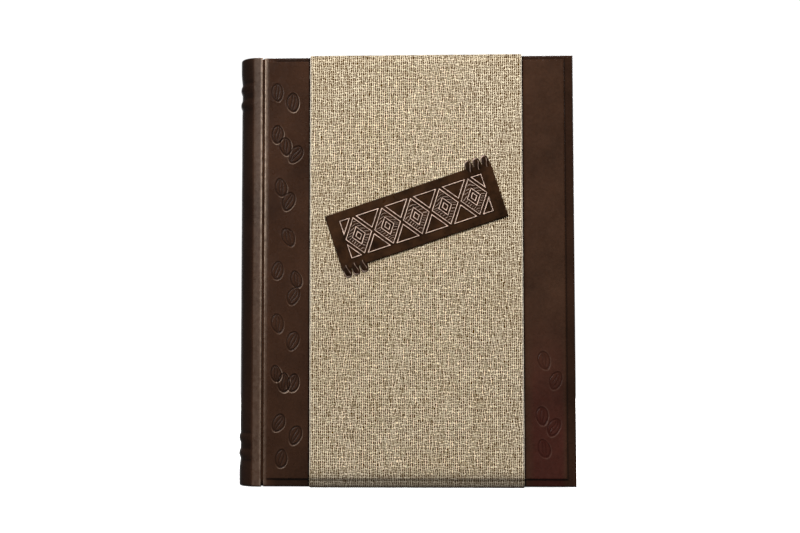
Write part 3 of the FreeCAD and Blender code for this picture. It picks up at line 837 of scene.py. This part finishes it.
def joint_strip(side):
    """The leather in the groove between the spine and a cover, which bends as the cover opens."""
    floor = SPINE_CREST - GROOVE_DEPTH
    centre = floor + GROOVE_RADIUS
    spine_out, cover_out = BORDER_OUT - SPINE_LAP, BORDER_OUT - COVER_LAP
    outer = [(-GROOVE_HALF, spine_out), (-GROOVE_MOUTH, spine_out)]
    for turn in np.linspace(math.pi, 2 * math.pi, 17):
        outer.append((GROOVE_RADIUS * math.cos(turn), centre + GROOVE_RADIUS * math.sin(turn)))
    outer += [(GROOVE_MOUTH, cover_out), (GROOVE_HALF, cover_out)]
    inner = [(share * GROOVE_HALF, floor - JOINT_LEATHER) for share in np.linspace(1, -1, 13)]
    sections = []
    for z in steps((TAIL + JOINT_SHORT, 5 * MM), (HEAD - JOINT_SHORT, 0)):
        lift = 0.05 * MM * float(ripple(np.array(z), np.array(0.0), 25 * MM, 12))
        sections.append([at(side, HINGE_X + x, out + lift, z) for x, out in outer + inner])
    made = piece(f"{side}_joint_leather", *loft(sections), "brown_leather", f"{side}_joint")
    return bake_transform(made)


# Papers that bend with the covers and leaves

FOLD_DEPTH = 0.55 * MM
FOLD_PAPER = 0.3 * MM
PASTE_DEPTH = 0.2 * MM
PAPER_STEP = 20 * MM
BEND_STEPS = 28


def paper_strip(name, side, line, thickness, tail, head, slot, *replaced):
    """A strip of paper along a line of (x, distance out) points, between two heights."""
    line = np.array(line)
    half = normals(line) * thickness / 2
    outline = np.concatenate([line + half, (line - half)[::-1]])
    heights = steps((tail, PAPER_STEP), (head, 0))
    points, faces = loft([[at(side, x, out, z) for x, out in outline] for z in heights])
    return piece(name, points, faces, slot, *replaced)


def endpaper_hinges(side):
    """The two arms of an endpaper's fold: one to the pastedown, one to the flyleaf."""
    paste = BOARD_IN - PASTE_DEPTH
    low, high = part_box(f"{side}_flyleaf")
    fly = abs((low.y + high.y) / 2 - MID_Y)
    fold = (paste + fly) / 2
    start = HINGE_X - FOLD_DEPTH
    arms = (("pastedown", paste, HINGE_EDGE, f"{side}_cover"), ("flyleaf", fly, LEAF_LEFT, f"{side}_flyleaf"))
    for arm, out, end, body in arms:
        line = []
        for share in np.linspace(0, 1, BEND_STEPS):
            bend = math.sin(min(1, share * 2.5) * math.pi / 2)
            line.append((start + (end - start) * share ** 1.5, fold + (out - fold) * bend))
        made = paper_strip(f"{side}_{arm}_hinge", side, line, FOLD_PAPER, LEAF_TAIL, LEAF_HEAD,
                           "endpaper", f"{side}_endpaper_fold")
        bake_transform(made)


def leaf_guard(leaf):
    """The paper that hinges one leaf to the sewn back, and laps onto the leaf."""
    low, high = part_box(f"{leaf}_guard")
    side = "front" if low.y > (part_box(leaf)[0].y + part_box(leaf)[1].y) / 2 else "back"
    out = ((low.y + high.y) / 2 - MID_Y) * FACING[side]
    places = [*np.linspace(low.x, LEAF_LEFT, BEND_STEPS), *steps((LEAF_LEFT + MM, 2 * MM), (high.x, 0))]
    made = paper_strip(f"{leaf}_hinge", side, [(x, out) for x in places], high.y - low.y, low.z, high.z,
                       "guard_paper", f"{leaf}_guard")
    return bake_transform(made)


# Headbands

STITCH = 0.9 * MM


def headband(end):
    """A cord worked over with silk: ribbed along the block's end."""
    node = f"headband_{end}"
    low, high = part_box(node)
    core = (high.z - low.z) / 2
    centre_z = (low.z + high.z) / 2
    radius = (SPINE_X - low.x) - core
    reach = math.acos(min(1.0, (SPINE_X - high.x) / radius)) * radius
    spins = np.linspace(0, 2 * math.pi, 20, endpoint=False)
    sections, stitches = [], []
    for s in steps((-reach, STITCH / 6), (reach, 0)):
        thick = core * (0.86 + 0.12 * abs(math.sin(math.pi * s / STITCH)))
        around = zip(radius + thick * np.cos(spins), centre_z + thick * np.sin(spins))
        sections.append([spine_place(r, s / radius, z) for r, z in around])
        stitches += [(s / MM, 0.0)] * len(spins)
    made = piece(f"{node}_silk", *loft(sections), "headband_silk", node)
    set_uv(made, "stitches", stitches)
    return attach(made, "block")


# Linen band

WARP_PITCH = 1.36 * MM
WEFT_PITCH = 1.8 * MM
WEAVE_RISE = 0.17 * MM
LINEN_TAB = 12 * MM
LINEN_ROUND = 0.8 * MM
LINEN_LIFT = 0.05 * MM
HEAD_SLACK = 0.5 * MM
FOOT_SHADE_REACH = 14 * MM


def linen_path():
    """The linen's outer face in section, from its head tab over the front to its tail tab, as
    (distance out, height) points."""
    low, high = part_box("front_panel_card")
    inside, border = COVER_IN - LINEN, BORDER_OUT + LINEN
    ease = 0.4 * MM

    def half(edge, fold, foot, way):
        """From one end's tab to the raised panel. Way is 1 at the head and -1 at the tail."""
        return [
            (inside, edge - way * LINEN_TAB),
            (inside, fold - way * LINEN_ROUND),
            (inside + LINEN_ROUND, fold),
            (border - LINEN_ROUND, fold),
            (border, fold - way * LINEN_ROUND),
            (border, foot + way * ease),
            (LINEN_OUT, foot - way * (BEVEL - ease)),
        ]

    head = half(HEAD, HEAD + LINEN + HEAD_SLACK, high.z, 1)
    tail = half(TAIL, TAIL - LINEN, low.z, -1)
    return head + tail[::-1]


def spaced(line, pitch):
    """Points along a line, two for each pitch, with their normals, and the line's length."""
    line = np.array(line)
    travel = np.concatenate([[0], np.cumsum(np.hypot(*np.diff(line, axis=0).T))])
    places = np.linspace(0, travel[-1], 2 * round(travel[-1] / pitch) + 1)
    points = np.stack([np.interp(places, travel, line[:, k]) for k in range(2)], 1)
    return points, normals(points), travel[-1]


def weave(rows, columns):
    """Relief of the threads on a grid with two points for each thread, with thick and thin ones."""
    dice = np.random.default_rng(21)
    j, i = np.meshgrid(np.arange(rows), np.arange(columns), indexing="ij")
    relief = WEAVE_RISE * (0.6 * np.cos(math.pi * i) + 0.4 * np.cos(math.pi * j))
    warp = dice.normal(0, 0.3, columns // 2 + 1)[i // 2]
    weft = dice.normal(0, 0.25, rows // 2 + 1)[j // 2]
    slubs = ripple(i * 9.0, j * 0.35, 12.0, 33) + ripple(i * 0.35, j * 9.0, 12.0, 34)
    chance = dice.normal(0, 0.8, relief.shape)
    return relief + WEAVE_RISE * 0.35 * np.clip(warp + weft + slubs + chance, -2, 2)


def linen_band():
    """The linen strip wrapped round the front cover, with its long edges folded under."""
    path, normal, length = spaced(linen_path(), WEFT_PITCH)
    rows = len(path)
    columns = 2 * round((LINEN_RIGHT - LINEN_LEFT) / WARP_PITCH) + 1
    across = np.linspace(LINEN_LEFT, LINEN_RIGHT, columns)
    to_edge = np.minimum(across - LINEN_LEFT, LINEN_RIGHT - across)
    relief = weave(rows, columns) - 0.4 * WEAVE_RISE - rounded(to_edge, 0.5 * LINEN)[None, :]
    wander = 0.12 * MM * ripple(np.arange(rows) * 1.0, np.zeros(rows), 40.0, 5)
    sections, counts = [], []
    for j in range(rows):
        xs = across.copy()
        xs[[0, -1]] += wander[j]
        tops = path[j] + normal[j] * relief[j][:, None]
        under = path[j] - normal[j] * (LINEN - LINEN_LIFT)
        section = [at("front", x, *top) for x, top in zip(xs, tops)]
        sections.append(section + [at("front", x, *under) for x in (LINEN_RIGHT, LINEN_LEFT)])
        counts += [(i, j) for i in (*range(columns), columns - 1, 0)]
    made = piece("linen_wrap", *loft(sections), "natural_linen", "linen_band")
    # half a thread of shift puts the middle of each drawn thread on the raised points
    set_uv(made, "threads", np.array(counts) / 2 + 0.5)
    # painted shade towards the tail and at the head, and a painted highlight along both long edges
    foot = np.clip(1 - (path[:, 1] - TAIL) / FOOT_SHADE_REACH, 0, 1) ** 1.3
    top = smooth(1 - (HEAD - path[:, 1]) / (5 * MM))
    rim = peak(to_edge, 0.6 * MM)
    painted_shade_and_highlight = (0.86 * foot + 0.14 * top)[:, None] - 0.7 * rim[None, :] * (1 - foot[:, None])
    note(made, "painted_shade_and_highlight", np.column_stack([painted_shade_and_highlight, 0.5 * foot, 0.5 * foot]).ravel())
    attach(made, "front_cover")
    return made


# Plaque on the linen

PLAQUE_WIDTH = 117.5 * MM
PLAQUE_HEIGHT = 39 * MM
PLAQUE_TILT = math.radians(18.3)
PLAQUE_ACROSS = 103 * MM
PLAQUE_UP = 180.9 * MM
PLAQUE_ROUND = 0.7 * MM
PLAQUE_STEP = 0.27 * MM
PLAQUE_SINK = 0.1 * MM
RELIEF = 0.5 * MM
RELIEF_LINE = 0.35 * MM
LINE_SHADE = 2.3
LOZENGES = 5
LOZENGE_WIDTH = 20.4 * MM
LOZENGE_HEIGHT = 28 * MM
LOZENGE_LINES = (0.9 * MM, 4.6 * MM, 6.6 * MM)
HATCH = 1.9 * MM
HATCH_LINE = 0.25 * MM
HATCH_FROM = 1.6 * MM
HATCH_TO = 4.0 * MM
HATCH_FADE = 0.4 * MM
TRIANGLE_GAP = 0.4 * MM
TRIANGLE_INSET = 1.0 * MM
LOBE_COUNT = 3
LOBE_RADIUS = 2.7 * MM
LOBE_REACH = 5.4 * MM
LOBE_PITCH = 5.8 * MM
LOBE_CORNER = 3.2 * MM
LOBE_LAP = 4.6 * MM
LOBE_FULLNESS = 3.0


def plaque_place(u, v, out):
    """A point of the plaque, given along its own width and height, in the part's frame."""
    x = HINGE_EDGE + PLAQUE_ACROSS + u * math.cos(PLAQUE_TILT) - v * math.sin(PLAQUE_TILT)
    z = TAIL + PLAQUE_UP + u * math.sin(PLAQUE_TILT) + v * math.cos(PLAQUE_TILT)
    return at("front", x, out, z)


def ornament(u, v, spread=1.0):
    """Height, from 0 to 1, of a chain of lozenges with grain inside, and triangles between them. The
    lines are spread times as wide as they are embossed."""
    half_width, half_height = LOZENGE_WIDTH / 2, LOZENGE_HEIGHT / 2
    last = (LOZENGES - 1) / 2
    cell = np.clip(np.round(u / LOZENGE_WIDTH + last) - last, -last, last)
    side = np.abs(u - cell * LOZENGE_WIDTH)
    inside = 1 - side / half_width - np.abs(v) / half_height
    depth = inside * half_width * half_height / math.hypot(half_width, half_height)

    def line(distance, width=RELIEF_LINE):
        return np.exp(-(distance / (spread * width)) ** 4)

    lines = [line(depth - inset) for inset in LOZENGE_LINES]
    swirl = 0.5 * MM * np.sin(u / (2.3 * MM) + 2.0 * np.sin(v / (3.1 * MM)))
    grain = line(((v + swirl + 0.35 * side) % HATCH) - HATCH / 2, HATCH_LINE)
    field = smooth((depth - HATCH_FROM) / HATCH_FADE) * smooth((HATCH_TO - depth) / HATCH_FADE)
    to_end = LOZENGES * half_width - np.abs(u)
    edge = np.minimum.reduce([-depth - TRIANGLE_GAP, half_height - np.abs(v), to_end])
    triangle = line(edge - TRIANGLE_INSET) * (edge > 0)
    return np.maximum.reduce([*lines, 0.6 * grain * field, triangle])


def plaque_plate():
    """Points, faces and paint marks of the embossed plate, with rounded edges and a flat back: raised lines
    rubbed pale, and painted shade round them.
    """
    half_u, half_v = PLAQUE_WIDTH / 2, PLAQUE_HEIGHT / 2
    us, vs = (edged(-half, half, PLAQUE_ROUND, PLAQUE_STEP, count=4) for half in (half_u, half_v))
    u, v = np.meshgrid(us, vs, indexing="ij")
    raised = ornament(u, v)
    to_edge = np.minimum(half_u - np.abs(u), half_v - np.abs(v))
    out = PLAQUE_OUT - RELIEF * (1 - raised) - rounded(to_edge, PLAQUE_ROUND)
    out += 0.05 * MM * (ripple(u, v, 20 * MM, 41) - 1)
    points = [plaque_place(*spot) for spot in zip(u.ravel(), v.ravel(), out.ravel())]
    faces = grid_faces(*u.shape)
    number = np.arange(u.size).reshape(u.shape)
    edge = np.concatenate([number[:-1, 0], number[-1, :-1], number[:0:-1, -1], number[0, :0:-1]]).tolist()
    back = list(range(len(points), len(points) + len(edge)))
    points += [plaque_place(u.flat[k], v.flat[k], LINEN_OUT - PLAQUE_SINK) for k in edge]
    faces += wall(edge, back)
    faces.append(back)
    # painted shade in a wider band round each raised line
    shade = ornament(u, v, LINE_SHADE) - raised
    return points, faces, [*(raised - 0.8 * shade).ravel(), *np.zeros(len(edge))]


def plaque_lobe(u, sign):
    """One rounded bean-shaped lobe with a crease, which reaches out from the plate's long edge."""
    inner, outer = PLAQUE_HEIGHT / 2 - LOBE_LAP, PLAQUE_HEIGHT / 2 + LOBE_REACH
    half_length = (outer - inner) / 2
    thickness = PLAQUE_OUT - LINEN_OUT - PLAQUE_SINK
    rings, spokes = 16, 48
    sections, worn_and_painted_light = [], []
    for ring in range(1, rings + 1):
        reach = math.sin(math.pi / 2 * ring / rings)
        dome = math.sqrt(max(0.0, 1 - reach ** 2.6))
        section = []
        for turn in np.linspace(0, 2 * math.pi, spokes, endpoint=False):
            a, b = math.cos(turn), math.sin(turn)
            full = reach * (abs(a) ** LOBE_FULLNESS + abs(b) ** LOBE_FULLNESS) ** (-1 / LOBE_FULLNESS)
            a, b = a * full, b * full
            bow = a - 0.25 * math.sin(2.6 * b)
            crease = peak(bow, 0.16) * max(0.0, 0.9 - reach)
            out = LINEN_OUT - PLAQUE_SINK + thickness * (dome - 0.4 * crease)
            spot = u + a * LOBE_RADIUS, sign * (inner + half_length + b * half_length)
            section.append(plaque_place(*spot, out))
            # a painted highlight on the lobe's upper left rim and beside its crease; elsewhere the lobe is
            # darker
            rim = peak(reach - 0.88, 0.09) * max(0.0, math.cos(turn - 2.2))
            fold = peak(bow - 0.28, 0.12) * smooth((0.85 - reach) * 5)
            worn_and_painted_light.append(min(1.0, 1.5 * rim + 0.9 * fold - 0.5))
        sections.append(section)
    return *loft(sections), worn_and_painted_light


def title_plaque():
    """The plate and its two rows of lobes, as one piece of leather."""
    points, faces, worn_and_painted_light = plaque_plate()
    for sign in (1, -1):
        for lobe in range(LOBE_COUNT):
            u = sign * (PLAQUE_WIDTH / 2 - LOBE_CORNER - lobe * LOBE_PITCH)
            more, loops, rub_and_painted_light = plaque_lobe(u, sign)
            faces += [tuple(k + len(points) for k in loop) for loop in loops]
            points += more
            worn_and_painted_light += rub_and_painted_light
    made = piece("plaque_leather_plate", points, faces, "plaque_leather", "title_plaque")
    note(made, "wear_and_painted_light", worn_and_painted_light)
    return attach(made, "front_cover")


# Studio and camera

CAMERA_PLACE = (0.0303, -0.9130, 0.0923)
CAMERA_YAW, CAMERA_PITCH, CAMERA_ROLL = (math.radians(a) for a in (-2.140, 3.550, -0.083))
CAMERA_LENS = 60.0
LIGHT_AIM = (0.0, 0.0, 0.15)


def backdrop():
    """One pale sheet: the floor, which curves up into the wall behind."""
    paint = Paint("pale_sheet", Specular_IOR_Level=0.1, Emission_Color=WHITE, Emission_Strength=0.9)
    pale = paint.finish(paint.mix(paint.cloud(0.4), color(0.90, 0.90, 0.90), color(0.93, 0.93, 0.93)), 0.9)
    half_width, front, bend, radius, top = 6.0, -5.0, 3.0, 1.5, 6.0
    line = [(front, 0.0)]
    for turn in np.linspace(0, math.pi / 2, 17):
        line.append((bend + radius * math.sin(turn), radius - radius * math.cos(turn)))
    line.append((bend + radius, top))
    mesh = bpy.data.meshes.new("backdrop")
    points = [(x, y, z) for y, z in line for x in (-half_width, half_width)]
    mesh.from_pydata(points, [], grid_faces(len(line), 2))
    mesh.shade_smooth()
    mesh.materials.append(pale)
    sheet = put("backdrop", mesh)
    # the sheet is lit for itself alone, so that it stays pale and casts no glare on the leather
    sheet.visible_diffuse = False
    sheet.visible_glossy = False


def softbox(name, place, width, height, power):
    """A soft light that faces the middle of the album."""
    light = bpy.data.lights.new(name, "AREA")
    light.shape = "RECTANGLE"
    light.size, light.size_y, light.energy = width, height, power
    lamp = put(name, light)
    lamp.location = place
    lamp.rotation_euler = (Vector(LIGHT_AIM) - Vector(place)).to_track_quat("-Z", "Y").to_euler()
    lamp.visible_camera = False
    return lamp


def studio():
    """A bright room behind the album and a dimmer one in front, with soft lights above and at the left."""
    scene = bpy.context.scene
    scene.view_settings.view_transform = "Standard"
    room = Paint("room", "worlds", "Background", Color=WHITE)
    axes = room.add("SeparateXYZ", {0: room.add("TexCoord", {}, "Generated")}).node
    room.feed(room.band(axes.outputs["Y"], 0.75, 0.95, 0.07, 0.9), room.shader.inputs["Strength"])
    scene.world = room.made
    key = softbox("key", (0.05, -1.15, 1.45), 0.8, 0.8, 40.0)
    key.visible_glossy = False
    softbox("left", (-1.06, -0.92, 0.75), 0.5, 1.1, 1.7)
    softbox("near_left", (-0.7, -1.28, 0.8), 0.12, 1.1, 2.9)
    # these light the back, the fore-edge and the head, and don't reach the front
    softbox("behind", (0.1, 1.5, 0.75), 0.9, 0.9, 30.0)
    softbox("fore_edge", (1.3, 0.35, 0.9), 0.7, 0.9, 9.0)


def camera():
    """The camera, at the photograph's place and angle."""
    lens = bpy.data.cameras.new("camera")
    lens.lens = CAMERA_LENS
    eye = put("camera", lens)
    level = Matrix.Rotation(-CAMERA_YAW, 4, "Z") @ Matrix.Rotation(math.pi / 2 + CAMERA_PITCH, 4, "X")
    eye.matrix_world = Matrix.Translation(CAMERA_PLACE) @ level @ Matrix.Rotation(CAMERA_ROLL, 4, "Z")
    bpy.context.scene.camera = eye


dress_nodes()
for side in FACING:
    cover_skin(side)
    joint_strip(side)
    endpaper_hinges(side)
spine_skin()
linen_band()
title_plaque()
for end in ("head", "tail"):
    headband(end)
for body in frame["bodies"]:
    if body.startswith("leaf_"):
        leaf_guard(body)
backdrop()
studio()
camera()
